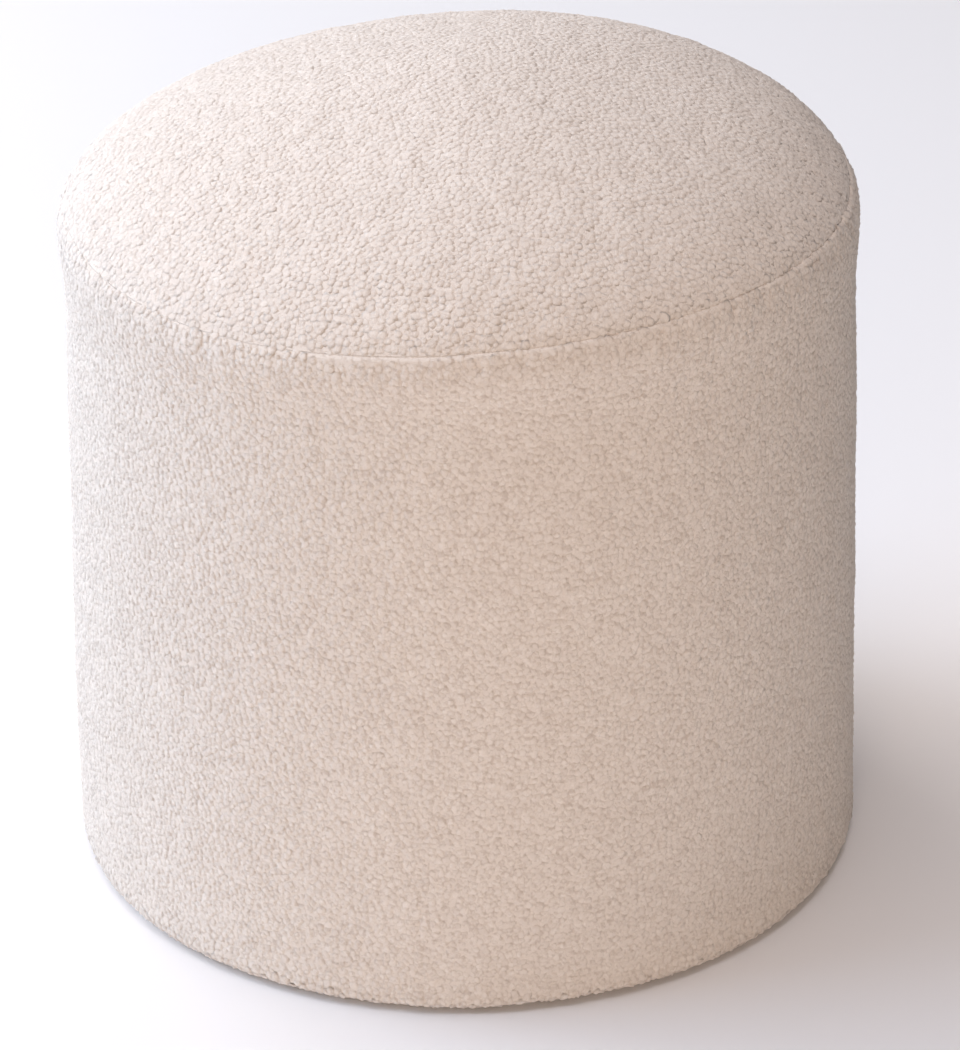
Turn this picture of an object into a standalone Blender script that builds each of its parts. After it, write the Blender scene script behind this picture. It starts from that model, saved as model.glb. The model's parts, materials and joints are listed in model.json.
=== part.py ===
"""A round upholstered pouf: a filled drum in a band of cloth, a crowned top panel and a base cloth.

Metres, +Z up. The origin is at the middle of the underside, on the floor. The front is at -Y.
"""

import math

import bmesh
import bpy

# Driving dimensions
SHOULDER_RADIUS = 0.200  # the widest place of the roll under the top seam
TOTAL_HEIGHT = 0.420  # floor to the middle of the crown
SEAM_HEIGHT = 0.356  # floor to the top seam, on the axis
SEAM_INSET = 0.0055  # the seam lies this far inside the shoulder
SHOULDER_DROP = 0.013  # the shoulder is this far below the seam
WALL_TOP_RADIUS = 0.1985  # the wall where the shoulder's roll has died out
WALL_TOP_DROP = 0.052  # seam down to that place
WALL_MIDDLE_RADIUS = 0.2000
WALL_FOOT_RADIUS = 0.2008  # the filling spreads a little at the floor
FOOT_ROUNDING = 0.006  # the turned-under bottom edge
BASE_RADIUS = 0.186  # the base cloth, inside the turned-under edge
BASE_THICKNESS = 0.001
BASE_EDGE_ROUNDING = 0.0003
CLEARANCE = 0.0003  # between pieces that touch

# The crown rises steeply from the seam and flattens to the middle, as |r|^p + |z|^p = 1
CROWN_POWER = 1.59

# The seam isn't quite level: it is higher on the right, and wanders a little round the drum
SEAM_RISE_TO_RIGHT = 0.0038  # at the seam's radius
SEAM_WANDER = 0.0021
SEAM_WANDER_WAVES = 3
SEAM_WANDER_START = -1.23  # radians

# The filling has settled unevenly: on the left the wall swells out low down and is drawn in higher up
LEFT_SWELL = 0.0022
LEFT_SWELL_FADES = (0.08, 0.22)  # heights between which the swelling dies out
LEFT_DRAW = 0.0007
LEFT_DRAW_GROWS = (0.14, 0.25)
LEFT_DRAW_FADES = (0.325, 0.340)
LEFT_SPREAD = 0.6  # radians to each side

# How finely the pieces are cut
SEGMENTS = 72
WALL_ROWS = 10
ROLL_ROWS = 6
FOOT_ROWS = 5
CROWN_ROWS = 13
FLAT_ROWS = 3  # rings across a flat round face

CLOTH_COLOUR = (0.78, 0.70, 0.62, 1.0)
BASE_COLOUR = (0.045, 0.043, 0.042, 1.0)
CLOTH_ROUGHNESS = 0.95


def clear_scene():
    for item in list(bpy.data.objects):
        bpy.data.objects.remove(item, do_unlink=True)


def make_material(name, colour, roughness):
    material = bpy.data.materials.new(name)
    material.use_nodes = True
    shader = material.node_tree.nodes["Principled BSDF"]
    shader.inputs["Base Color"].default_value = colour
    shader.inputs["Roughness"].default_value = roughness
    shader.inputs["Metallic"].default_value = 0.0
    material.diffuse_color = colour
    return material


def shares(count):
    """Evenly spaced numbers above 0, up to 1."""
    return [step / count for step in range(1, count + 1)]


def seam_lift(angle):
    """How far the seam lies above its height on the axis, at this angle round the drum."""
    tilt = SEAM_RISE_TO_RIGHT * math.cos(angle)
    return tilt + SEAM_WANDER * math.sin(SEAM_WANDER_WAVES * angle + SEAM_WANDER_START)


def wall_radius(share):
    """The drawn-in wall between the foot (0) and the wall's top (1), through its three radii."""
    foot = WALL_FOOT_RADIUS * (1 - share) * (1 - 2 * share)
    middle = 4 * WALL_MIDDLE_RADIUS * share * (1 - share)
    top = WALL_TOP_RADIUS * share * (2 * share - 1)
    return foot + middle + top


def side_profile():
    """(radius, height) from the middle of the drum's top, over the shoulder and down to the middle of its bottom."""
    seam_radius = SHOULDER_RADIUS - SEAM_INSET
    top = SEAM_HEIGHT - CLEARANCE
    shoulder = SEAM_HEIGHT - SHOULDER_DROP
    wall_top = SEAM_HEIGHT - WALL_TOP_DROP
    bottom = BASE_THICKNESS + CLEARANCE
    wall_foot = bottom + FOOT_ROUNDING
    points = [(0.0, top)]
    points += [(seam_radius * share, top) for share in shares(FLAT_ROWS)]
    for share in shares(ROLL_ROWS):  # the roll, from the seam to the shoulder
        turn = share * math.pi / 2
        radius = seam_radius + SEAM_INSET * math.sin(turn)
        points.append((radius, shoulder + (top - shoulder) * math.cos(turn)))
    for share in shares(ROLL_ROWS):  # the shoulder fades into the wall
        fade = (1 + math.cos(share * math.pi)) / 2
        radius = WALL_TOP_RADIUS + (SHOULDER_RADIUS - WALL_TOP_RADIUS) * fade
        points.append((radius, shoulder + (wall_top - shoulder) * share))
    for share in shares(WALL_ROWS):
        points.append((wall_radius(1 - share), wall_top + (wall_foot - wall_top) * share))
    for share in shares(FOOT_ROWS):  # the turned-under bottom edge
        turn = share * math.pi / 2
        radius = WALL_FOOT_RADIUS - FOOT_ROUNDING * (1 - math.cos(turn))
        points.append((radius, wall_foot - FOOT_ROUNDING * math.sin(turn)))
    last_radius = points[-1][0]
    points += [(last_radius * (1 - share), bottom) for share in shares(FLAT_ROWS)]
    return points


def crown_profile():
    """(radius, height) from the middle of the crown down to the seam, and across the flat underside."""
    seam_radius = SHOULDER_RADIUS - SEAM_INSET
    rise = TOTAL_HEIGHT - SEAM_HEIGHT
    points = [(0.0, TOTAL_HEIGHT)]
    for share in shares(CROWN_ROWS):
        turn = share * math.pi / 2
        radius = seam_radius * math.sin(turn) ** (2 / CROWN_POWER)
        points.append((radius, SEAM_HEIGHT + rise * math.cos(turn) ** (2 / CROWN_POWER)))
    points[-1] = (seam_radius, SEAM_HEIGHT)
    points += [(seam_radius * (1 - share), SEAM_HEIGHT) for share in shares(FLAT_ROWS)]
    return points


def spin_profile(profile):
    """A closed turned body from a profile that starts and ends on the axis."""
    body = bmesh.new()
    rim = [body.verts.new((radius, 0.0, height)) for radius, height in profile]
    edges = [body.edges.new(pair) for pair in zip(rim, rim[1:])]
    bmesh.ops.spin(
        body,
        geom=rim + edges,
        cent=(0, 0, 0),
        axis=(0, 0, 1),
        angle=math.tau,
        steps=SEGMENTS,
        use_merge=True,
    )
    bmesh.ops.remove_doubles(body, verts=body.verts, dist=1e-6)
    bmesh.ops.recalc_face_normals(body, faces=body.faces)
    return body


def follow_the_seam(body):
    """Lifts each point by the seam's lift at its angle, in full at the seam and above, and not at all at the floor."""
    for point in body.verts:
        radius = math.hypot(point.co.x, point.co.y)
        height = min(max(point.co.z / SEAM_HEIGHT, 0.0), 1.0)
        outward = min(radius / (SHOULDER_RADIUS - SEAM_INSET), 1.0)
        angle = math.atan2(point.co.y, point.co.x)
        point.co.z += seam_lift(angle) * outward * height**2


def soft_step(value, low, high):
    share = min(max((value - low) / (high - low), 0.0), 1.0)
    return share * share * (3 - 2 * share)


def left_swell(angle, height):
    """How far the wall stands out from its turned shape, at this angle and height."""
    from_left = abs(math.remainder(angle - math.pi, math.tau))
    if from_left >= LEFT_SPREAD:
        return 0.0
    near = math.cos(from_left / LEFT_SPREAD * math.pi / 2) ** 2
    swell = LEFT_SWELL * (1 - soft_step(height, *LEFT_SWELL_FADES))
    draw = LEFT_DRAW * soft_step(height, *LEFT_DRAW_GROWS) * (1 - soft_step(height, *LEFT_DRAW_FADES))
    return near * (swell - draw)


def settle_the_wall(body):
    """Moves each point outwards by the left side's swelling, in full on the wall and not at all on the axis."""
    for point in body.verts:
        radius = math.hypot(point.co.x, point.co.y)
        if radius < 1e-6 or point.co.z > SEAM_HEIGHT - SHOULDER_DROP:
            continue
        outward = min(radius / WALL_TOP_RADIUS, 1.0)
        swell = left_swell(math.atan2(point.co.y, point.co.x), point.co.z)
        scale = 1 + swell * outward / radius
        point.co.x *= scale
        point.co.y *= scale


def add_piece(name, body, material, collection):
    mesh = bpy.data.meshes.new(name)
    body.to_mesh(mesh)
    body.free()
    mesh.shade_smooth()
    mesh.set_sharp_from_angle(angle=math.radians(50))
    mesh.materials.append(material)
    piece = bpy.data.objects.new(name, mesh)
    collection.objects.link(piece)
    return piece


def add_side_panel(material, collection):
    body = spin_profile(side_profile())
    settle_the_wall(body)
    follow_the_seam(body)
    return add_piece("side_panel", body, material, collection)


def add_top_panel(material, collection):
    body = spin_profile(crown_profile())
    follow_the_seam(body)
    return add_piece("top_panel", body, material, collection)


def add_base_panel(material, collection):
    body = bmesh.new()
    bmesh.ops.create_cone(
        body,
        cap_ends=True,
        segments=SEGMENTS,
        radius1=BASE_RADIUS,
        radius2=BASE_RADIUS,
        depth=BASE_THICKNESS,
    )
    bmesh.ops.translate(body, verts=body.verts, vec=(0, 0, BASE_THICKNESS / 2))
    rims = [edge for edge in body.edges if abs(edge.verts[0].co.z - edge.verts[1].co.z) < 1e-6]
    bmesh.ops.bevel(
        body,
        geom=rims,
        offset=BASE_EDGE_ROUNDING,
        segments=2,
        profile=0.5,
        affect="EDGES",
        material=-1,
    )
    return add_piece("base_panel", body, material, collection)


def main():
    clear_scene()
    collection = bpy.data.collections.new("pouf")
    bpy.context.scene.collection.children.link(collection)
    side_cloth = make_material("side_boucle", CLOTH_COLOUR, CLOTH_ROUGHNESS)
    top_cloth = make_material("top_boucle", CLOTH_COLOUR, CLOTH_ROUGHNESS)
    base_cloth = make_material("base_cloth", BASE_COLOUR, CLOTH_ROUGHNESS)
    add_side_panel(side_cloth, collection)
    add_top_panel(top_cloth, collection)
    add_base_panel(base_cloth, collection)


main()
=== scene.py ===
import json
import math

import bmesh
import bpy
import numpy as np
from mathutils import Matrix, Vector, noise
from mathutils.bvhtree import BVHTree

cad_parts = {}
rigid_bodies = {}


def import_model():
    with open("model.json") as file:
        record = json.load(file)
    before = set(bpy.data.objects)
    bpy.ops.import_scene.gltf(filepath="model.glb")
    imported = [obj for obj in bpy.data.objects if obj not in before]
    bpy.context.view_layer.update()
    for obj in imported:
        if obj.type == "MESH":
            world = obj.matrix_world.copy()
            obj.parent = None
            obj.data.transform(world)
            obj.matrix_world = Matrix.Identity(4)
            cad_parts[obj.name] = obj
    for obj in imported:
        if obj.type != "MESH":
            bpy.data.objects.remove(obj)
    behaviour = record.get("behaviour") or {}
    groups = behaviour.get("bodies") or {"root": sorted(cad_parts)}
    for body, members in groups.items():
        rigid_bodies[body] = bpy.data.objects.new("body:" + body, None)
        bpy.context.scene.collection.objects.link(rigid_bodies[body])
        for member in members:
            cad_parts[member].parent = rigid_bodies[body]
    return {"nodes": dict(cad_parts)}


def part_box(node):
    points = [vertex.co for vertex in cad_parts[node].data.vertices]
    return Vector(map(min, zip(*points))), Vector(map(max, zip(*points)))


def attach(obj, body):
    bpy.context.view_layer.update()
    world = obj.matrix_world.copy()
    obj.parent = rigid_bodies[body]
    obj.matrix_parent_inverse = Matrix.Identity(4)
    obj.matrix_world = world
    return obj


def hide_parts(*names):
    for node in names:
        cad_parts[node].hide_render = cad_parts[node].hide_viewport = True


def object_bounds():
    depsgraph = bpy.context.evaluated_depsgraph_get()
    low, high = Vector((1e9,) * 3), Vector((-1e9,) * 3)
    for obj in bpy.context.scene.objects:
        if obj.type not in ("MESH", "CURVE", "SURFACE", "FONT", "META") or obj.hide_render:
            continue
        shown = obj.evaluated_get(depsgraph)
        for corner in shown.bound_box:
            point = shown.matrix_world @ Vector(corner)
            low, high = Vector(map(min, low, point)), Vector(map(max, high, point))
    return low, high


# A round boucle pouf: a band of looped cloth round a filled drum, and a crowned top panel.
# The front is at -Y, the floor at 0, and everything is in metres.

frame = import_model()
cadLow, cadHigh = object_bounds()
sideNode = frame["nodes"]["side_panel"]
topNode = frame["nodes"]["top_panel"]
print("frame loaded:", ", ".join(sorted(frame["nodes"])))


# The camera and the light

photoView = {
    "distance": 2.5,  # in front of the drum's axis
    "height": 1.4695,
    "sideways": 0.008,
    "tiltDown": 27.534,  # degrees
    "roll": -1.054,
    "lens": 189.9,
    "sensor": 36.0,
}

studio = {
    "lights": [
        {"name": "windowSoftbox", "place": (-2.0, 1.5, 1.6), "aim": (0.0, 0.0, 0.2), "size": 3.0,
         "power": 56.0, "colour": (1.0, 0.93, 0.89)},
        {"name": "leftSoftbox", "place": (-2.8, 0.2, 1.6), "aim": (0.0, 0.0, 0.2), "size": 3.0,
         "power": 73.0, "colour": (0.54, 0.74, 1.0)},
        {"name": "topSoftbox", "place": (0.0, 0.0, 3.0), "aim": (0.0, 0.0, 0.2), "size": 2.6,
         "power": 40.0, "colour": (1.0, 0.92, 0.94)},
        {"name": "frontSoftbox", "place": (0.0, -3.0, 1.0), "aim": (0.0, 0.0, 0.2), "size": 1.6,
         "power": 31.5, "colour": (1.0, 0.79, 0.65)},
    ],
    "worldColour": (1.0, 0.99, 0.985),
    "worldStrength": 0.11,
    "floorColour": (0.93, 0.925, 0.93),
    "floorRoughness": 0.9,
    "floorSize": 30.0,
}


def addCamera(view):
    tilt = math.radians(view["tiltDown"])
    roll = math.radians(view["roll"])
    turned = Matrix.Rotation(math.pi / 2 - tilt, 4, "X") @ Matrix.Rotation(roll, 4, "Z")
    data = bpy.data.cameras.new("photoCamera")
    data.lens = view["lens"]
    data.sensor_width = view["sensor"]
    data.clip_end = 100.0
    camera = bpy.data.objects.new("photoCamera", data)
    camera.matrix_world = Matrix.Translation((view["sideways"], -view["distance"], view["height"])) @ turned
    bpy.context.scene.collection.objects.link(camera)
    bpy.context.scene.camera = camera
    return camera


def addSoftbox(light):
    data = bpy.data.lights.new(light["name"], "AREA")
    data.shape = "DISK"
    data.size = light["size"]
    data.energy = light["power"]
    data.color = light["colour"]
    lamp = bpy.data.objects.new(light["name"], data)
    lamp.location = light["place"]
    toAim = Vector(light["aim"]) - Vector(light["place"])
    lamp.rotation_euler = toAim.to_track_quat("-Z", "Y").to_euler()
    bpy.context.scene.collection.objects.link(lamp)
    return lamp


def addStudio(look):
    for light in look["lights"]:
        addSoftbox(light)
    world = bpy.data.worlds.new("paleRoom")
    world.use_nodes = True
    sky = world.node_tree.nodes["Background"]
    sky.inputs["Color"].default_value = (*look["worldColour"], 1.0)
    sky.inputs["Strength"].default_value = look["worldStrength"]
    bpy.context.scene.world = world
    shape = bmesh.new()
    bmesh.ops.create_grid(shape, x_segments=1, y_segments=1, size=look["floorSize"] / 2)
    paper = makePlainMaterial("floorPaper", look["floorColour"], look["floorRoughness"])
    keepPiece("floor", shape, [paper])
    view = bpy.context.scene.view_settings
    view.view_transform = "Standard"
    view.look = "None"
    view.exposure = 0.0
    view.gamma = 1.0


# Small helpers

noiseSeeds = {"top": 1, "side": 2, "closing": 3, "mottles": 4, "puckers": 6, "seam": 9}
noiseStep = (7.3, 3.1, 5.7)  # from one seed's noise to the next


def keepPiece(name, shape, materials, smooth=True):
    mesh = bpy.data.meshes.new(name)
    shape.to_mesh(mesh)
    shape.free()
    for material in materials:
        mesh.materials.append(material)
    if smooth:
        mesh.shade_smooth()
    piece = bpy.data.objects.new(name, mesh)
    bpy.context.scene.collection.objects.link(piece)
    return piece


def pointsOf(mesh):
    flat = np.empty(len(mesh.vertices) * 3, np.float32)
    mesh.vertices.foreach_get("co", flat)
    return flat.reshape(-1, 3).astype(float)


def movePoints(mesh, places):
    mesh.vertices.foreach_set("co", np.ascontiguousarray(places, np.float32).ravel())
    mesh.update()


def normalsOf(mesh):
    flat = np.empty(len(mesh.vertices) * 3, np.float32)
    mesh.vertices.foreach_get("normal", flat)
    return flat.reshape(-1, 3).astype(float)


def softStep(value, low, high):
    share = np.clip((value - low) / (high - low), 0.0, 1.0)
    return share * share * (3 - 2 * share)


def hump(value, middle, width):
    return np.exp(-(((value - middle) / width) ** 2))


def between(ends, share):
    return ends[0] + (ends[1] - ends[0]) * share


def turnFrom(angles, degrees):
    # the angle from that direction, between minus and plus half a turn
    return np.angle(np.exp(1j * (angles - math.radians(degrees))))


def circleOf(radius, angles):
    return radius * np.stack([np.cos(angles), np.sin(angles), np.zeros(len(angles))], 1)


def noiseAt(places, scale, seed):
    offset = Vector([seed * step for step in noiseStep])
    return np.array([noise.noise(Vector(place) * scale + offset) for place in places])


# Shader groups and materials

cloth = {
    "lightYarn": (0.87, 0.788, 0.708),
    "darkYarn": (0.80, 0.713, 0.634),
    "groundCloth": (0.83, 0.745, 0.665),
    "roughness": 0.92,
    "sheen": 0.12,
    "sheenRoughness": 0.5,
    "specular": 0.2,
    "patchScale": 26.0,  # faint patches of lighter and darker yarn
    "patchDepth": 0.9,
    "fibreScale": 680.0,
    "fibreHeight": 0.0005,
    "curlScale": 530.0,  # small curls within the loops, and the pits between them, which get painted shade
    "curlWarp": 0.0010,
    "pitDepth": 0.0003,
    "pitFrom": 0.50,
    "pitTo": 0.85,
    # painted shade: the pits between the curls are darkened towards the pit shade tone, by this share
    "pitShade": 0.35,
    "paintedPitShadeTone": (0.62, 0.55, 0.50),
    "bump": 0.4,
    "softness": 0.7,  # how far the fuzz turns a loop's shading towards the cloth's
}

# sitting has pressed the crown's loops smoother, and the crown gets less painted shade in the pits between
# its curls
crownCloth = {**cloth, "pitShade": 0.15, "bump": 0.3, "softness": 0.86}

baseCloth = {
    # near black, as a dust cover is; this darkness also stands in for the shade under the foot's edge, so it
    # is partly painted shade
    "colour": (0.045, 0.043, 0.042),
    "threadColour": (0.095, 0.091, 0.088),
    "roughness": 0.95,
    "threadPitch": 0.0012,
    "threadHeight": 0.00015,
    "edgeRounding": 0.0003,
    "steps": 180,
}


def makePlainMaterial(name, colour, roughness):
    material = bpy.data.materials.new(name)
    material.use_nodes = True
    shader = material.node_tree.nodes["Principled BSDF"]
    shader.inputs["Base Color"].default_value = (*colour, 1.0)
    shader.inputs["Roughness"].default_value = roughness
    return material


def addNode(tree, kind, **settings):
    node = tree.nodes.new(kind)
    for name, value in settings.items():
        setattr(node, name, value)
    return node


def newGroup(name, inputs, outputs):
    tree = bpy.data.node_groups.new(name, "ShaderNodeTree")
    for label, kind, value in inputs:
        socket = tree.interface.new_socket(label, in_out="INPUT", socket_type=kind)
        socket.default_value = value
    for label, kind in outputs:
        tree.interface.new_socket(label, in_out="OUTPUT", socket_type=kind)
    return tree, addNode(tree, "NodeGroupInput"), addNode(tree, "NodeGroupOutput")


def makeYarnColourGroup():
    # mixes two yarn colours by a per-loop tint and by faint large patches
    tree, entry, leave = newGroup(
        "yarnColour",
        [
            ("Light", "NodeSocketColor", (1, 1, 1, 1)),
            ("Dark", "NodeSocketColor", (0.5, 0.5, 0.5, 1)),
            ("Tint", "NodeSocketFloat", 0.5),
            ("Patch Scale", "NodeSocketFloat", 10.0),
            ("Patch Depth", "NodeSocketFloat", 0.3),
        ],
        [("Color", "NodeSocketColor")],
    )
    where = addNode(tree, "ShaderNodeTexCoord")
    patches = addNode(tree, "ShaderNodeTexNoise")
    patches.inputs["Detail"].default_value = 2.0
    centred = addNode(tree, "ShaderNodeMath", operation="SUBTRACT")
    centred.inputs[1].default_value = 0.5
    scaled = addNode(tree, "ShaderNodeMath", operation="MULTIPLY")
    total = addNode(tree, "ShaderNodeMath", operation="ADD", use_clamp=True)
    mixed = addNode(tree, "ShaderNodeMix", data_type="RGBA")
    link = tree.links.new
    link(where.outputs["Object"], patches.inputs["Vector"])
    link(entry.outputs["Patch Scale"], patches.inputs["Scale"])
    link(patches.outputs["Fac"], centred.inputs[0])
    link(centred.outputs[0], scaled.inputs[0])
    link(entry.outputs["Patch Depth"], scaled.inputs[1])
    link(scaled.outputs[0], total.inputs[0])
    link(entry.outputs["Tint"], total.inputs[1])
    link(total.outputs[0], mixed.inputs["Factor"])
    link(entry.outputs["Dark"], mixed.inputs["A"])
    link(entry.outputs["Light"], mixed.inputs["B"])
    link(mixed.outputs["Result"], leave.inputs["Color"])
    return tree


def makeCurlGroup():
    # crimped fibres and small curls of yarn, as one height, with a mask of the pits between the curls, where
    # shade is painted
    tree, entry, leave = newGroup(
        "curlDetail",
        [
            ("Fibre Scale", "NodeSocketFloat", 900.0),
            ("Fibre Height", "NodeSocketFloat", 0.0003),
            ("Curl Scale", "NodeSocketFloat", 400.0),
            ("Curl Warp", "NodeSocketFloat", 0.001),
            ("Pit Depth", "NodeSocketFloat", 0.0005),
            ("Pit From", "NodeSocketFloat", 0.5),
            ("Pit To", "NodeSocketFloat", 0.8),
        ],
        [("Height", "NodeSocketFloat"), ("Pits", "NodeSocketFloat")],
    )
    where = addNode(tree, "ShaderNodeTexCoord")
    fibres = addNode(tree, "ShaderNodeTexNoise")
    fibres.inputs["Detail"].default_value = 2.0
    rise = addNode(tree, "ShaderNodeMath", operation="MULTIPLY")
    centred = addNode(tree, "ShaderNodeVectorMath", operation="SUBTRACT")
    centred.inputs[1].default_value = (0.5, 0.5, 0.5)
    push = addNode(tree, "ShaderNodeVectorMath", operation="SCALE")
    warped = addNode(tree, "ShaderNodeVectorMath", operation="ADD")
    curls = addNode(tree, "ShaderNodeTexVoronoi", feature="F1")
    pits = addNode(tree, "ShaderNodeMapRange", interpolation_type="SMOOTHSTEP")
    dip = addNode(tree, "ShaderNodeMath", operation="MULTIPLY")
    total = addNode(tree, "ShaderNodeMath", operation="SUBTRACT")
    link = tree.links.new
    link(where.outputs["Object"], fibres.inputs["Vector"])
    link(entry.outputs["Fibre Scale"], fibres.inputs["Scale"])
    link(fibres.outputs["Fac"], rise.inputs[0])
    link(entry.outputs["Fibre Height"], rise.inputs[1])
    link(fibres.outputs["Color"], centred.inputs[0])
    link(centred.outputs[0], push.inputs[0])
    link(entry.outputs["Curl Warp"], push.inputs["Scale"])
    link(where.outputs["Object"], warped.inputs[0])
    link(push.outputs[0], warped.inputs[1])
    link(warped.outputs[0], curls.inputs["Vector"])
    link(entry.outputs["Curl Scale"], curls.inputs["Scale"])
    link(curls.outputs["Distance"], pits.inputs["Value"])
    link(entry.outputs["Pit From"], pits.inputs["From Min"])
    link(entry.outputs["Pit To"], pits.inputs["From Max"])
    link(pits.outputs["Result"], dip.inputs[0])
    link(entry.outputs["Pit Depth"], dip.inputs[1])
    link(rise.outputs[0], total.inputs[0])
    link(dip.outputs[0], total.inputs[1])
    link(total.outputs[0], leave.inputs["Height"])
    link(pits.outputs["Result"], leave.inputs["Pits"])
    return tree


def makeBoucle(name, groups, look, light, dark, usesTint):
    material = bpy.data.materials.new(name)
    material.use_nodes = True
    tree = material.node_tree
    shader = tree.nodes["Principled BSDF"]
    shader.inputs["Roughness"].default_value = look["roughness"]
    shader.inputs["Sheen Weight"].default_value = look["sheen"]
    shader.inputs["Sheen Roughness"].default_value = look["sheenRoughness"]
    shader.inputs["Specular IOR Level"].default_value = look["specular"]
    colour = addNode(tree, "ShaderNodeGroup", node_tree=groups["yarnColour"])
    colour.inputs["Light"].default_value = (*light, 1.0)
    colour.inputs["Dark"].default_value = (*dark, 1.0)
    colour.inputs["Patch Scale"].default_value = look["patchScale"]
    colour.inputs["Patch Depth"].default_value = look["patchDepth"]
    if usesTint:
        tint = addNode(tree, "ShaderNodeAttribute", attribute_name="loopTint")
        tree.links.new(tint.outputs["Fac"], colour.inputs["Tint"])
    detail = addNode(tree, "ShaderNodeGroup", node_tree=groups["curlDetail"])
    for label, key in (
        ("Fibre Scale", "fibreScale"),
        ("Fibre Height", "fibreHeight"),
        ("Curl Scale", "curlScale"),
        ("Curl Warp", "curlWarp"),
        ("Pit Depth", "pitDepth"),
        ("Pit From", "pitFrom"),
        ("Pit To", "pitTo"),
    ):
        detail.inputs[label].default_value = look[key]
    # painted shade: the base colour is darkened in the pits between the curls
    shade = addNode(tree, "ShaderNodeMath", operation="MULTIPLY")
    shade.inputs[1].default_value = look["pitShade"]
    shaded = addNode(tree, "ShaderNodeMix", data_type="RGBA", blend_type="MULTIPLY")
    shaded.inputs["B"].default_value = (*look["paintedPitShadeTone"], 1.0)
    bump = addNode(tree, "ShaderNodeBump")
    bump.inputs["Distance"].default_value = 1.0
    bump.inputs["Strength"].default_value = look["bump"]
    if usesTint:
        # the fuzz between the loops spreads the light, so they shade more softly than bare beads would
        ownNormal = addNode(tree, "ShaderNodeNewGeometry")
        clothNormal = addNode(tree, "ShaderNodeAttribute", attribute_name="clothNormal")
        turned = addNode(tree, "ShaderNodeVectorTransform", vector_type="NORMAL")
        turned.convert_from = "OBJECT"
        turned.convert_to = "WORLD"
        softened = addNode(tree, "ShaderNodeMix", data_type="VECTOR")
        softened.inputs["Factor"].default_value = look["softness"]
        unit = addNode(tree, "ShaderNodeVectorMath", operation="NORMALIZE")
        tree.links.new(clothNormal.outputs["Vector"], turned.inputs[0])
        tree.links.new(ownNormal.outputs["Normal"], softened.inputs["A"])
        tree.links.new(turned.outputs[0], softened.inputs["B"])
        tree.links.new(softened.outputs["Result"], unit.inputs[0])
        tree.links.new(unit.outputs[0], bump.inputs["Normal"])
    tree.links.new(detail.outputs["Pits"], shade.inputs[0])
    tree.links.new(shade.outputs[0], shaded.inputs["Factor"])
    tree.links.new(colour.outputs["Color"], shaded.inputs["A"])
    tree.links.new(shaded.outputs["Result"], shader.inputs["Base Color"])
    tree.links.new(detail.outputs["Height"], bump.inputs["Height"])
    tree.links.new(bump.outputs["Normal"], shader.inputs["Normal"])
    return material


def makeBaseFabric(name, look):
    # a plain weave: two crossing sets of threads
    material = makePlainMaterial(name, look["colour"], look["roughness"])
    tree = material.node_tree
    shader = tree.nodes["Principled BSDF"]
    where = addNode(tree, "ShaderNodeTexCoord")
    crossing = addNode(tree, "ShaderNodeMath", operation="MULTIPLY")
    bandPitch = math.tau / 20  # a wave texture's own, at a scale of 1
    for index, direction in enumerate(("X", "Y")):
        threads = addNode(tree, "ShaderNodeTexWave", wave_type="BANDS", bands_direction=direction)
        threads.inputs["Scale"].default_value = bandPitch / look["threadPitch"]
        tree.links.new(where.outputs["Object"], threads.inputs["Vector"])
        tree.links.new(threads.outputs["Fac"], crossing.inputs[index])
    mixed = addNode(tree, "ShaderNodeMix", data_type="RGBA")
    mixed.inputs["A"].default_value = (*look["colour"], 1.0)
    mixed.inputs["B"].default_value = (*look["threadColour"], 1.0)
    bump = addNode(tree, "ShaderNodeBump")
    bump.inputs["Distance"].default_value = look["threadHeight"]
    tree.links.new(crossing.outputs[0], mixed.inputs["Factor"])
    tree.links.new(mixed.outputs["Result"], shader.inputs["Base Color"])
    tree.links.new(crossing.outputs[0], bump.inputs["Height"])
    tree.links.new(bump.outputs["Normal"], shader.inputs["Normal"])
    return material


# The filled form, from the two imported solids

filling = {
    "voxel": 0.006,
    "pileRoom": 0.0006,  # the loops stand this far out of the cloth's ground
    "startSmaller": 0.0012,
    "pressure": 4.0,
    "frames": 20,
    "mostMove": 0.0032,
    "seamHold": 0.007,  # cloth this near the seam is held
    "footHold": 0.02,  # and cloth below this height
    "floorGap": 0.002,
    "quality": 5,
    "mass": 0.3,
    "airDamping": 1.0,
    "stretchStiffness": 15.0,
    "shearStiffness": 5.0,
    "bendStiffness": 0.5,
}


def readSeam():
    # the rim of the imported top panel, as its radius and its height by angle
    places = pointsOf(topNode.data)
    radii = np.hypot(places[:, 0], places[:, 1])
    rim = places[radii > radii.max() * seamLook["rimShare"]]
    angles = np.arctan2(rim[:, 1], rim[:, 0])
    order = np.argsort(angles)
    fine = np.linspace(-math.pi, math.pi, seamLook["steps"], endpoint=False)
    heights = np.interp(fine, angles[order], rim[order, 2], period=math.tau)
    level = float(heights.mean())
    circle = circleOf(radii.max(), fine)
    heights += seamLook["wander"] * noiseAt(circle, seamLook["wanderScale"], noiseSeeds["seam"])
    return {"radius": float(radii.max()), "angles": fine, "heights": heights, "level": level}


def seamHeight(seam, angle):
    return np.interp(angle, seam["angles"], seam["heights"], period=math.tau)


def mergedForm(name):
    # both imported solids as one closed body, remeshed evenly
    shape = bmesh.new()
    for node in (sideNode, topNode):
        shape.from_mesh(node.data)
    bmesh.ops.remove_doubles(shape, verts=shape.verts, dist=1e-5)
    form = keepPiece(name, shape, [])
    remesh = form.modifiers.new("evenMesh", "REMESH")
    remesh.mode = "VOXEL"
    remesh.voxel_size = filling["voxel"]
    applyModifiers(form)
    return form


def applyModifiers(piece):
    graph = bpy.context.evaluated_depsgraph_get()
    made = bpy.data.meshes.new_from_object(piece.evaluated_get(graph), depsgraph=graph)
    old = piece.data
    piece.modifiers.clear()
    piece.data = made
    made.name = old.name
    bpy.data.meshes.remove(old)


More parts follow.
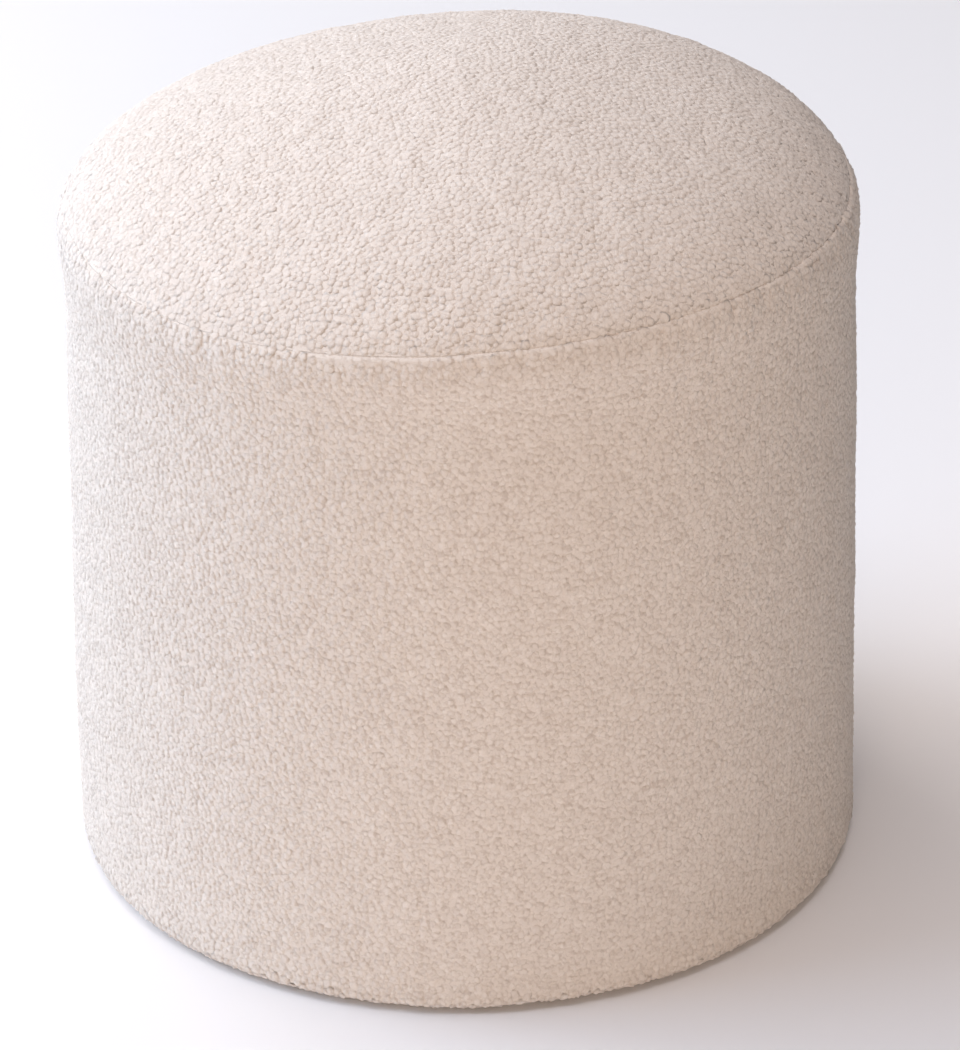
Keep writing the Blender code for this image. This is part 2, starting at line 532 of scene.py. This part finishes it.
def holdCloth(form, places, seam):
    # a vertex group of the cloth near the seam and at the foot
    radii = np.hypot(places[:, 0], places[:, 1])
    level = seamHeight(seam, np.arctan2(places[:, 1], places[:, 0]))
    fromSeam = np.hypot(radii - seam["radius"], places[:, 2] - level)
    isHeld = (fromSeam < filling["seamHold"]) | (places[:, 2] < filling["footHold"])
    held = form.vertex_groups.new(name="held")
    for index in np.nonzero(isHeld)[0]:
        held.add([int(index)], 1.0, "REPLACE")
    return held


def addSwelling(form, held):
    swelling = form.modifiers.new("swelling", "CLOTH")
    settings = swelling.settings
    settings.quality = filling["quality"]
    settings.mass = filling["mass"]
    settings.air_damping = filling["airDamping"]
    settings.tension_stiffness = filling["stretchStiffness"]
    settings.compression_stiffness = filling["stretchStiffness"]
    settings.shear_stiffness = filling["shearStiffness"]
    settings.bending_stiffness = filling["bendStiffness"]
    settings.use_pressure = True
    settings.uniform_pressure_force = filling["pressure"]
    settings.vertex_group_mass = held.name
    settings.effector_weights.gravity = 0.0
    swelling.point_cache.frame_start = 1
    swelling.point_cache.frame_end = filling["frames"]


def stuffForm(seam):
    # the filling's pressure swells the cloth a little
    form = mergedForm("filledForm")
    mesh = form.data
    start = pointsOf(mesh) - normalsOf(mesh) * (filling["pileRoom"] + filling["startSmaller"])
    start[:, 2] = np.maximum(start[:, 2], cadLow.z + filling["floorGap"])
    movePoints(mesh, start)
    addSwelling(form, holdCloth(form, start, seam))
    scene = bpy.context.scene
    for step in range(1, filling["frames"] + 1):
        scene.frame_set(step)
    graph = bpy.context.evaluated_depsgraph_get()
    moved = pointsOf(form.evaluated_get(graph).data)
    form.modifiers.clear()
    scene.frame_set(1)
    shift = moved - start
    length = np.linalg.norm(shift, axis=1)
    print("swelling moved the cloth by up to", round(float(length.max()) * 1000, 1), "mm")
    shift *= (np.minimum(length, filling["mostMove"]) / np.maximum(length, 1e-9))[:, None]
    movePoints(mesh, start + shift)
    return form


def treeOf(piece):
    shape = bmesh.new()
    shape.from_mesh(piece.data)
    tree = BVHTree.FromBMesh(shape)
    shape.free()
    return tree


# The two panels, spun from the form's outline and laid on it

panels = {
    "steps": 300,  # round the drum
    "topRows": 40,
    "sideRows": 80,
    "capRows": 3,  # rings across each hidden flat face
    "fanHeight": 0.2,  # outlines are read from this point on the axis
    "fanSteps": 1200,
    "turnedBelow": 0.01,  # the outline is under the drum once it is this low
    "turnedUnder": 0.184,  # the band ends this far from the axis, under the drum
    "underLoops": 0.1885,  # and carries loops down to here
    "seamCrowding": 1.6,  # the top panel's rows crowd towards the seam
    "footSpread": 0.0030,  # its lowest edge squeezes out a little in front
    "footSpreadBelow": 0.018,
    "footSpreadFrom": (0.187, 0.195),  # distances from the axis
    "footSpreadFaces": -85.0,  # degrees
    "lowest": 0.0014,  # the band's ground cloth above the floor
    "lowZone": 0.03,  # it is drawn down below this height
    "waviness": 0.0006,
    "waveScale": 12.0,
    "wavesFade": (0.002, 0.02),  # distances from the seam
    "topMottling": 0.0006,
    "sideMottling": 0.00035,
    "mottleScale": 75.0,
}

seamLook = {
    "steps": 720,
    "rimShare": 0.9995,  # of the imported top's radius, beyond which its rim lies
    "rimInset": 0.7,  # share of the pile's room
    "wander": 0.0004,
    "wanderScale": 30.0,
    "sink": (0.0007, 0.0001),  # the groove's depth, elsewhere and on the left, where it hardly shows
    "faintFaces": -142.0,  # degrees
    "faintFades": (0.35, 0.85),  # cosines of the angle from there
    "topReach": 0.0026,  # along the cloth, above the seam
    "sideReach": 0.0012,
    "lipRise": (0.0001, 0.0010),  # a fold edge just below the seam, elsewhere and where it shows most
    "lipPlace": 0.0021,
    "lipWidth": 0.0012,
    "lipFaces": -101.0,  # degrees
    "lipSpread": 0.40,  # radians to each side
    "topClear": 0.0009,  # no loops nearer than this
    "sideClear": (0.0012, 0.0034),
    "faintClear": 0.3,  # share of the side's where the seam hardly shows
    "clearFades": (0.82, 0.90),  # cosines again, for that share
    "dipDepth": 0.0034,  # the wall is drawn in below the shoulder
    "dipFrom": 0.009,
    "dipDeepest": 0.036,
    "dipTo": 0.12,
    "dipFaces": -100.0,  # degrees
    "dipElsewhere": 0.15,  # share of its depth on the far side
    "puckerDepth": 0.0009,
    "puckerPlace": 0.004,
    "puckerFades": (0.005, 0.017),
    "puckerScale": 150.0,
    "puckerGain": 2.2,
    "topPuckers": {"start": 0.0, "share": 0.5},
    "sidePuckers": {"start": 0.0015, "share": 1.0},
    "creases": [  # angle in degrees, drop below the seam, half length, slope, depth
        (-86.5, 0.0070, 0.030, 0.02, 0.0012),
        (-106.0, 0.0085, 0.014, 0.10, 0.0009),
        (-66.0, 0.0075, 0.016, -0.08, 0.0008),
        (-131.0, 0.0080, 0.015, 0.05, 0.0008),
    ],
    "creaseWidth": 0.0016,
    "closingAngle": 90.0,  # degrees: the band's own seam, at the back
    "closingDepth": 0.0022,
    "closingWidth": 0.0015,
    "closingClear": 0.0010,
    "closingStart": 0.004,  # it fades out this near the round seam
    "closingWander": 0.0006,
    "closingWanderScale": 40.0,
    "closingCrowding": 0.75,  # the mesh is finer near that seam
    "closingZone": 0.5,
}


def readOutline(tree):
    # (radius, height) of the form in front, from the crown to under the foot
    origin = Vector((0, 0, panels["fanHeight"]))
    outline = []
    for turn in np.linspace(0.0, math.pi, panels["fanSteps"]):
        hit = tree.ray_cast(origin, Vector((0, -math.sin(turn), math.cos(turn))))[0]
        radius = -hit.y
        isUnder = turn > math.pi / 2 and hit.z < panels["turnedBelow"]
        if isUnder and radius < panels["turnedUnder"]:
            break
        outline.append((radius, hit.z))
    return np.array(outline)


def spreadRows(outline, shares):
    # points along the outline at these shares of its length
    steps = np.hypot(*np.diff(outline, axis=0).T)
    along = np.concatenate([[0.0], np.cumsum(steps)])
    wanted = shares * along[-1]
    return np.stack([np.interp(wanted, along, outline[:, 0]), np.interp(wanted, along, outline[:, 1])], 1)


def capRows(radius, height):
    # rings of a hidden flat face, from the axis outwards
    return np.array([(radius * step / panels["capRows"], height) for step in range(panels["capRows"])])


def spinPanel(rows):
    shape = bmesh.new()
    line = [shape.verts.new((0.0, -radius, height)) for radius, height in rows]
    edges = [shape.edges.new(pair) for pair in zip(line, line[1:])]
    bmesh.ops.spin(
        shape,
        geom=line + edges,
        cent=(0, 0, 0),
        axis=(0, 0, 1),
        angle=math.tau,
        steps=panels["steps"],
        use_merge=True,
    )
    bmesh.ops.remove_doubles(shape, verts=shape.verts, dist=1e-6)
    bmesh.ops.recalc_face_normals(shape, faces=shape.faces)
    return shape


def crowdBack(places):
    # brings the mesh's columns closer together near the band's closing seam
    radii = np.hypot(places[:, 0], places[:, 1])
    angles = np.arctan2(places[:, 1], places[:, 0])
    zone = seamLook["closingZone"]
    fromBack = turnFrom(angles, seamLook["closingAngle"])
    near = np.abs(fromBack) < zone
    shift = seamLook["closingCrowding"] * zone * np.sin(math.pi * fromBack / zone) / math.pi
    angles = angles - np.where(near, shift, 0.0)
    return np.stack([radii * np.cos(angles), radii * np.sin(angles), places[:, 2]], 1)


def layPanel(shape, rows, tree, seam, isSide):
    # follows the seam's height, then lays the cloth on the form; hidden faces only follow the seam
    places = np.array([vert.co[:] for vert in shape.verts])
    if isSide:
        places = crowdBack(places)
    radii = np.hypot(places[:, 0], places[:, 1])
    angles = np.arctan2(places[:, 1], places[:, 0])
    rims = [rows[0], rows[-1]] if isSide else [rows[-1]]
    isCloth = np.ones(len(places), bool)
    carriesLoops = np.ones(len(places), bool)
    for rimRadius, rimHeight in rims:
        isLevel = np.abs(places[:, 2] - rimHeight) < 1e-6
        isCloth &= ~(isLevel & (radii < rimRadius - 1e-6))
        carriesLoops &= ~(isLevel & (radii < rimRadius + 1e-6))
    lift = seamHeight(seam, angles) - seamHeight(seam, -math.pi / 2)
    share = np.minimum(radii / seam["radius"], 1.0) * np.clip(places[:, 2] / seam["level"], 0, 1) ** 2
    places[:, 2] += lift * share
    outward = np.zeros_like(places)
    for index in np.nonzero(isCloth)[0]:
        hit, normal = tree.find_nearest(Vector(places[index]))[:2]
        places[index] = hit
        outward[index] = normal
    return places, outward, angles, isCloth, carriesLoops


def findRim(outline, seam):
    # where the seam lies on the form's outline, in front
    inside = filling["pileRoom"] * seamLook["rimInset"]
    wanted = (seam["radius"] - inside, seamHeight(seam, -math.pi / 2) - inside)
    index = int(np.argmin(np.hypot(outline[:, 0] - wanted[0], outline[:, 1] - wanted[1])))
    seam["rimRadius"] = outline[index, 0]
    seam["rimDrop"] = seamHeight(seam, -math.pi / 2) - outline[index, 1]
    return index


def distanceFromSeam(places, seam):
    radii = np.hypot(places[:, 0], places[:, 1])
    level = seamHeight(seam, np.arctan2(places[:, 1], places[:, 0])) - seam["rimDrop"]
    return np.hypot(radii - seam["rimRadius"], places[:, 2] - level)


def unevenness(places, away, seed, mottling):
    # slow waves and a finer mottling of the filled cloth, none at the seam
    waves = panels["waviness"] * noiseAt(places, panels["waveScale"], seed)
    mottles = mottling * noiseAt(places, panels["mottleScale"], seed + noiseSeeds["mottles"])
    return (waves + mottles) * softStep(away, *panels["wavesFade"])


def faintness(angles, fades):
    # 1 where the seam hardly shows, 0 elsewhere
    facing = np.cos(angles - math.radians(seamLook["faintFaces"]))
    return softStep(facing, *fades)


def grooveDepth(angles):
    return between(seamLook["sink"], faintness(angles, seamLook["faintFades"]))


def clearShare(angles):
    # the band's loops close over the seam where it hardly shows
    return between((1.0, seamLook["faintClear"]), faintness(angles, seamLook["clearFades"]))


def puckersAt(away, angles, seam, kind):
    # short dents beside the seam
    circle = circleOf(seam["radius"], angles)
    dents = noiseAt(circle, seamLook["puckerScale"], noiseSeeds["puckers"]) * seamLook["puckerGain"]
    reach = softStep(away, kind["start"], seamLook["puckerPlace"])
    reach *= 1 - softStep(away, *seamLook["puckerFades"])
    return kind["share"] * seamLook["puckerDepth"] * np.clip(dents, 0.0, 1.0) * reach


def lipShare(angles):
    # 1 where the fold edge below the seam shows most
    fromLip = np.abs(turnFrom(angles, seamLook["lipFaces"]))
    return np.cos(np.minimum(fromLip / seamLook["lipSpread"], 1.0) * math.pi / 2) ** 2


def shoulderDip(away, angles):
    # how far the wall is drawn in below the shoulder
    facing = np.maximum(np.cos(angles - math.radians(seamLook["dipFaces"])), 0.0) ** 2
    dip = softStep(away, seamLook["dipFrom"], seamLook["dipDeepest"])
    dip *= 1 - softStep(away, seamLook["dipDeepest"], seamLook["dipTo"])
    return seamLook["dipDepth"] * between((seamLook["dipElsewhere"], 1.0), facing) * dip


def creasesAt(away, angles, seam):
    depths = np.zeros_like(away)
    for angle, drop, half, slope, depth in seamLook["creases"]:
        along = seam["radius"] * (angles - math.radians(angle))
        fade = np.where(np.abs(along) < half, np.cos(along / half * math.pi / 2) ** 2, 0.0)
        depths += depth * fade * hump(away, drop + slope * along, seamLook["creaseWidth"])
    return depths


def acrossClosing(places, angles, seam):
    # the distance round the drum from the band's own closing seam
    wander = noiseAt(places * (0, 0, 1), seamLook["closingWanderScale"], noiseSeeds["closing"])
    along = seam["radius"] * (angles - math.radians(seamLook["closingAngle"]))
    return along - seamLook["closingWander"] * wander


def settleFoot(places, angles, isCloth):
    # the turned-under edge comes down to the floor, and squeezes out a little in front
    lowest = places[isCloth, 2].min()
    down = (lowest - panels["lowest"]) * (1 - softStep(places[:, 2], lowest, panels["lowZone"]))
    places[:, 2] -= down
    radii = np.hypot(places[:, 0], places[:, 1])
    facing = np.maximum(np.cos(angles - math.radians(panels["footSpreadFaces"])), 0.0)
    spread = panels["footSpread"] * facing * softStep(radii, *panels["footSpreadFrom"])
    spread *= 1 - softStep(places[:, 2], 0.0, panels["footSpreadBelow"])
    places[:, :2] *= (1 + spread * isCloth / np.maximum(radii, panels["turnedUnder"]))[:, None]


def finishPanel(name, shape, places, materials, cover):
    for vert, place in zip(shape.verts, places):
        vert.co = place
    piece = keepPiece(name, shape, materials)
    layer = piece.data.attributes.new("loopCover", "FLOAT", "POINT")
    layer.data.foreach_set("value", cover.astype(np.float32))
    return piece


def addTopPanel(tree, outline, rim, seam, materials):
    shares = 1 - (1 - np.linspace(0.0, 1.0, panels["topRows"])) ** panels["seamCrowding"]
    rows = spreadRows(outline[: rim + 1], shares)
    rows[0, 0] = 0.0
    shape = spinPanel(np.concatenate([rows, capRows(*rows[-1])[::-1]]))
    places, outward, angles, _, carriesLoops = layPanel(shape, rows, tree, seam, isSide=False)
    away = distanceFromSeam(places, seam)
    rise = unevenness(places, away, noiseSeeds["top"], panels["topMottling"])
    rise -= grooveDepth(angles) * (1 - softStep(away, 0.0, seamLook["topReach"])) ** 2
    rise -= puckersAt(away, angles, seam, seamLook["topPuckers"])
    places += outward * rise[:, None]
    cover = carriesLoops & (away > seamLook["topClear"])
    return finishPanel("topPanel", shape, places, materials, cover)


def addSidePanel(tree, outline, rim, seam, materials):
    steps = np.linspace(0.0, 1.0, panels["sideRows"])
    rows = spreadRows(outline[rim:], steps * steps * (3 - 2 * steps))
    everyRow = np.concatenate([capRows(*rows[0]), rows, capRows(*rows[-1])[::-1]])
    shape = spinPanel(everyRow)
    places, outward, angles, isCloth, carriesLoops = layPanel(shape, rows, tree, seam, isSide=True)
    away = distanceFromSeam(places, seam)
    rise = unevenness(places, away, noiseSeeds["side"], panels["sideMottling"])
    rise -= grooveDepth(angles) * (1 - softStep(away, 0.0, seamLook["sideReach"]))
    lipShows = lipShare(angles)
    rise += between(seamLook["lipRise"], lipShows) * hump(away, seamLook["lipPlace"], seamLook["lipWidth"])
    rise -= shoulderDip(away, angles)
    rise -= puckersAt(away, angles, seam, seamLook["sidePuckers"])
    rise -= creasesAt(away, angles, seam)
    across = acrossClosing(places, angles, seam)
    closing = hump(across, 0.0, seamLook["closingWidth"]) * softStep(away, 0.0, seamLook["closingStart"])
    rise -= seamLook["closingDepth"] * closing
    places += outward * rise[:, None]
    settleFoot(places, angles, isCloth)
    radii = np.hypot(places[:, 0], places[:, 1])
    cover = carriesLoops & (away > between(seamLook["sideClear"], lipShows) * clearShare(angles))
    cover &= np.abs(across) > seamLook["closingClear"]
    cover &= (radii > panels["underLoops"]) | (places[:, 2] > panels["lowZone"])
    return finishPanel("sidePanel", shape, places, materials, cover)


# The loops of the boucle

loops = {
    "gap": 0.0029,  # least distance between loops' middles
    "mostDense": 500000.0,  # tries per square metre, before the gap thins them
    "length": 0.0054,
    "lengthSpread": (0.85, 1.15),
    "width": 0.0047,
    "widthSpread": (0.9, 1.1),
    "thickness": 0.0031,
    "smallest": 0.78,
    "largest": 1.38,
    "lowest": 0.85,
    "highest": 1.15,
    "sunk": 0.0007,  # the loop's middle below the ground cloth
    "lean": 0.03,  # radians, most
    "shapes": 12,
    "bend": 0.32,
    "bendBack": 0.3,  # so that a bent loop stays centred
    "lumps": 0.13,
    "topHeight": 0.66,  # the crown's loops are pressed flatter
    "sideHeight": 1.0,
    "topSectors": 2,
    "sideSectors": 4,
    "lastSectorMore": 0.01,  # radians, so that no loop at half a turn is missed
    "topSeed": 3,
    "sideSeed": 8,
    "seed": 5,
}


def makeLoopShapes():
    # small bent beans, each a little different, as the loops that stand out of the cloth
    shelf = bpy.data.collections.new("loopShapes")
    rng = np.random.default_rng(loops["seed"])
    for index in range(loops["shapes"]):
        shape = bmesh.new()
        bmesh.ops.create_icosphere(shape, subdivisions=1, radius=0.5)
        turn = Matrix.Rotation(rng.uniform(0, math.tau), 4, "Z")
        turn = turn @ Matrix.Rotation(rng.uniform(0, math.tau), 4, "X")
        bmesh.ops.transform(shape, matrix=turn, verts=shape.verts)
        length = loops["length"] * rng.uniform(*loops["lengthSpread"])
        width = loops["width"] * rng.uniform(*loops["widthSpread"])
        bmesh.ops.scale(shape, vec=(length, width, loops["thickness"]), verts=shape.verts)
        bend = loops["bend"] * rng.uniform(-1, 1)
        for vert in shape.verts:
            along = vert.co.x / loops["length"] * 2
            vert.co.y += bend * loops["width"] * (along * along - loops["bendBack"])
            vert.co *= 1 + loops["lumps"] * rng.uniform(-1, 1)
        bmesh.ops.translate(shape, verts=shape.verts, vec=(0, 0, -loops["sunk"]))
        name = f"loopShape{index:02d}"
        mesh = bpy.data.meshes.new(name)
        shape.to_mesh(mesh)
        shape.free()
        mesh.shade_smooth()
        shelf.objects.link(bpy.data.objects.new(name, mesh))
    return shelf


def makeLoopNodes(shelf):
    # scatters the loops on a panel, and keeps those between two angles
    tree = bpy.data.node_groups.new("scatterLoops", "GeometryNodeTree")
    tree.interface.new_socket("Geometry", in_out="INPUT", socket_type="NodeSocketGeometry")
    for label, kind in (
        ("From", "NodeSocketFloat"),
        ("To", "NodeSocketFloat"),
        ("Height", "NodeSocketFloat"),
        ("Seed", "NodeSocketInt"),
    ):
        tree.interface.new_socket(label, in_out="INPUT", socket_type=kind)
    tree.interface.new_socket("Geometry", in_out="OUTPUT", socket_type="NodeSocketGeometry")
    link = tree.links.new
    entry = addNode(tree, "NodeGroupInput")
    leave = addNode(tree, "NodeGroupOutput")
    scatter = addNode(tree, "GeometryNodeDistributePointsOnFaces", distribute_method="POISSON")
    scatter.inputs["Distance Min"].default_value = loops["gap"]
    scatter.inputs["Density Max"].default_value = loops["mostDense"]
    cover = addNode(tree, "GeometryNodeInputNamedAttribute", data_type="FLOAT")
    cover.inputs["Name"].default_value = "loopCover"
    link(entry.outputs["Geometry"], scatter.inputs["Mesh"])
    link(entry.outputs["Seed"], scatter.inputs["Seed"])
    link(cover.outputs["Attribute"], scatter.inputs["Density Factor"])
    # the angle of each point round the axis
    place = addNode(tree, "GeometryNodeInputPosition")
    parts = addNode(tree, "ShaderNodeSeparateXYZ")
    angle = addNode(tree, "ShaderNodeMath", operation="ARCTAN2")
    past = addNode(tree, "FunctionNodeCompare", operation="GREATER_EQUAL")
    short = addNode(tree, "FunctionNodeCompare", operation="LESS_THAN")
    inside = addNode(tree, "FunctionNodeBooleanMath", operation="AND")
    link(place.outputs[0], parts.inputs[0])
    link(parts.outputs["Y"], angle.inputs[0])
    link(parts.outputs["X"], angle.inputs[1])
    link(angle.outputs[0], past.inputs["A"])
    link(entry.outputs["From"], past.inputs["B"])
    link(angle.outputs[0], short.inputs["A"])
    link(entry.outputs["To"], short.inputs["B"])
    link(past.outputs[0], inside.inputs[0])
    link(short.outputs[0], inside.inputs[1])
    # turn, lean, size, shape and tint by chance
    turns = addNode(tree, "FunctionNodeRandomValue", data_type="FLOAT_VECTOR")
    turns.inputs[0].default_value = (-loops["lean"], -loops["lean"], 0.0)
    turns.inputs[1].default_value = (loops["lean"], loops["lean"], math.tau)
    turns.inputs["Seed"].default_value = loops["seed"]
    asTurn = addNode(tree, "FunctionNodeEulerToRotation")
    turned = addNode(tree, "FunctionNodeRotateRotation", rotation_space="LOCAL")
    size = addNode(tree, "FunctionNodeRandomValue", data_type="FLOAT")
    size.inputs[2].default_value = loops["smallest"]
    size.inputs[3].default_value = loops["largest"]
    size.inputs["Seed"].default_value = loops["seed"] + 1
    height = addNode(tree, "FunctionNodeRandomValue", data_type="FLOAT")
    height.inputs[2].default_value = loops["lowest"]
    height.inputs[3].default_value = loops["highest"]
    height.inputs["Seed"].default_value = loops["seed"] + 4
    pressed = addNode(tree, "ShaderNodeMath", operation="MULTIPLY")
    stretched = addNode(tree, "ShaderNodeCombineXYZ")
    pick = addNode(tree, "FunctionNodeRandomValue", data_type="INT")
    pick.inputs[4].default_value = 0
    pick.inputs[5].default_value = loops["shapes"] - 1
    pick.inputs["Seed"].default_value = loops["seed"] + 2
    tint = addNode(tree, "FunctionNodeRandomValue", data_type="FLOAT")
    tint.inputs["Seed"].default_value = loops["seed"] + 3
    kinds = addNode(tree, "GeometryNodeCollectionInfo", transform_space="ORIGINAL")
    kinds.inputs["Collection"].default_value = shelf
    kinds.inputs["Separate Children"].default_value = True
    kinds.inputs["Reset Children"].default_value = True
    planted = addNode(tree, "GeometryNodeInstanceOnPoints")
    planted.inputs["Pick Instance"].default_value = True
    link(scatter.outputs["Rotation"], turned.inputs["Rotation"])
    link(turns.outputs[0], asTurn.inputs[0])
    link(asTurn.outputs[0], turned.inputs["Rotate By"])
    link(scatter.outputs["Points"], planted.inputs["Points"])
    link(inside.outputs[0], planted.inputs["Selection"])
    link(kinds.outputs[0], planted.inputs["Instance"])
    link(pick.outputs[2], planted.inputs["Instance Index"])
    link(turned.outputs[0], planted.inputs["Rotation"])
    link(size.outputs[1], stretched.inputs["X"])
    link(size.outputs[1], stretched.inputs["Y"])
    link(height.outputs[1], pressed.inputs[0])
    link(entry.outputs["Height"], pressed.inputs[1])
    link(pressed.outputs[0], stretched.inputs["Z"])
    link(stretched.outputs[0], planted.inputs["Scale"])
    keepTint = addNode(tree, "GeometryNodeStoreNamedAttribute", data_type="FLOAT", domain="INSTANCE")
    keepTint.inputs["Name"].default_value = "loopTint"
    keepNormal = addNode(tree, "GeometryNodeStoreNamedAttribute", data_type="FLOAT_VECTOR", domain="INSTANCE")
    keepNormal.inputs["Name"].default_value = "clothNormal"
    real = addNode(tree, "GeometryNodeRealizeInstances")
    link(planted.outputs[0], keepTint.inputs["Geometry"])
    link(tint.outputs[1], keepTint.inputs["Value"])
    link(keepTint.outputs[0], keepNormal.inputs["Geometry"])
    link(scatter.outputs["Normal"], keepNormal.inputs["Value"])
    link(keepNormal.outputs[0], real.inputs[0])
    link(real.outputs[0], leave.inputs[0])
    return tree


def scatterLoops(name, panel, tree, sectors, height, seed, yarn):
    # one piece for each equal sector round the axis
    sockets = {item.name: item.identifier for item in tree.interface.items_tree if item.in_out == "INPUT"}
    made = []
    for index in range(sectors):
        start, stop = (-math.pi + step * math.tau / sectors for step in (index, index + 1))
        if index == sectors - 1:
            stop += loops["lastSectorMore"]
        piece = bpy.data.objects.new(f"{name}{index + 1}", panel.data.copy())
        bpy.context.scene.collection.objects.link(piece)
        scatter = piece.modifiers.new("scatter", "NODES")
        scatter.node_group = tree
        scatter[sockets["From"]] = start
        scatter[sockets["To"]] = stop
        scatter[sockets["Height"]] = height
        scatter[sockets["Seed"]] = seed
        applyModifiers(piece)
        piece.data.materials.clear()
        piece.data.materials.append(yarn)
        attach(piece, "root")
        made.append(piece)
    print(name, "faces:", [len(piece.data.polygons) for piece in made])
    return made


# The base cloth

def addBasePanel(material):
    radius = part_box("base_panel")[1].x
    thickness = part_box("base_panel")[1].z
    shape = bmesh.new()
    bmesh.ops.create_cone(
        shape,
        cap_ends=True,
        segments=baseCloth["steps"],
        radius1=radius,
        radius2=radius,
        depth=thickness,
    )
    bmesh.ops.translate(shape, verts=shape.verts, vec=(0, 0, thickness / 2))
    edges = [edge for edge in shape.edges if abs(edge.verts[0].co.z - edge.verts[1].co.z) < 1e-6]
    bmesh.ops.bevel(
        shape,
        geom=edges,
        offset=baseCloth["edgeRounding"],
        segments=2,
        profile=0.5,
        affect="EDGES",
        material=-1,
    )
    return keepPiece("basePanel", shape, [material], smooth=False)


# Build everything

groups = {"yarnColour": makeYarnColourGroup(), "curlDetail": makeCurlGroup()}
sideYarn = makeBoucle("sideYarn", groups, cloth, cloth["lightYarn"], cloth["darkYarn"], True)
crownYarn = makeBoucle("crownYarn", groups, crownCloth, cloth["lightYarn"], cloth["darkYarn"], True)
groundCloth = makeBoucle("groundCloth", groups, cloth, cloth["groundCloth"], cloth["groundCloth"], False)

addCamera(photoView)
addStudio(studio)
print("camera and studio ready")

seam = readSeam()
form = stuffForm(seam)
formTree = treeOf(form)
outline = readOutline(formTree)
rim = findRim(outline, seam)
print("filled form ready, outline of", len(outline), "points")

topPanel = addTopPanel(formTree, outline, rim, seam, [groundCloth])
sidePanel = addSidePanel(formTree, outline, rim, seam, [groundCloth])
bpy.data.objects.remove(form, do_unlink=True)
print("panels ready")

shelf = makeLoopShapes()
loopTree = makeLoopNodes(shelf)
for place, panel, yarn in (("top", topPanel, crownYarn), ("side", sidePanel, sideYarn)):
    sectors, height, seed = (loops[place + word] for word in ("Sectors", "Height", "Seed"))
    scatterLoops(place + "Loops", panel, loopTree, sectors, height, seed, yarn)
for item in list(shelf.objects):
    bpy.data.objects.remove(item, do_unlink=True)
bpy.data.collections.remove(shelf)

basePanel = addBasePanel(makeBaseFabric("baseFabric", baseCloth))
print("base cloth ready")

for piece, node, slotName in (
    (topPanel, "top_panel", "top_boucle"),
    (sidePanel, "side_panel", "side_boucle"),
    (basePanel, "base_panel", "base_cloth"),
):
    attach(piece, "root")
    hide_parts(node)
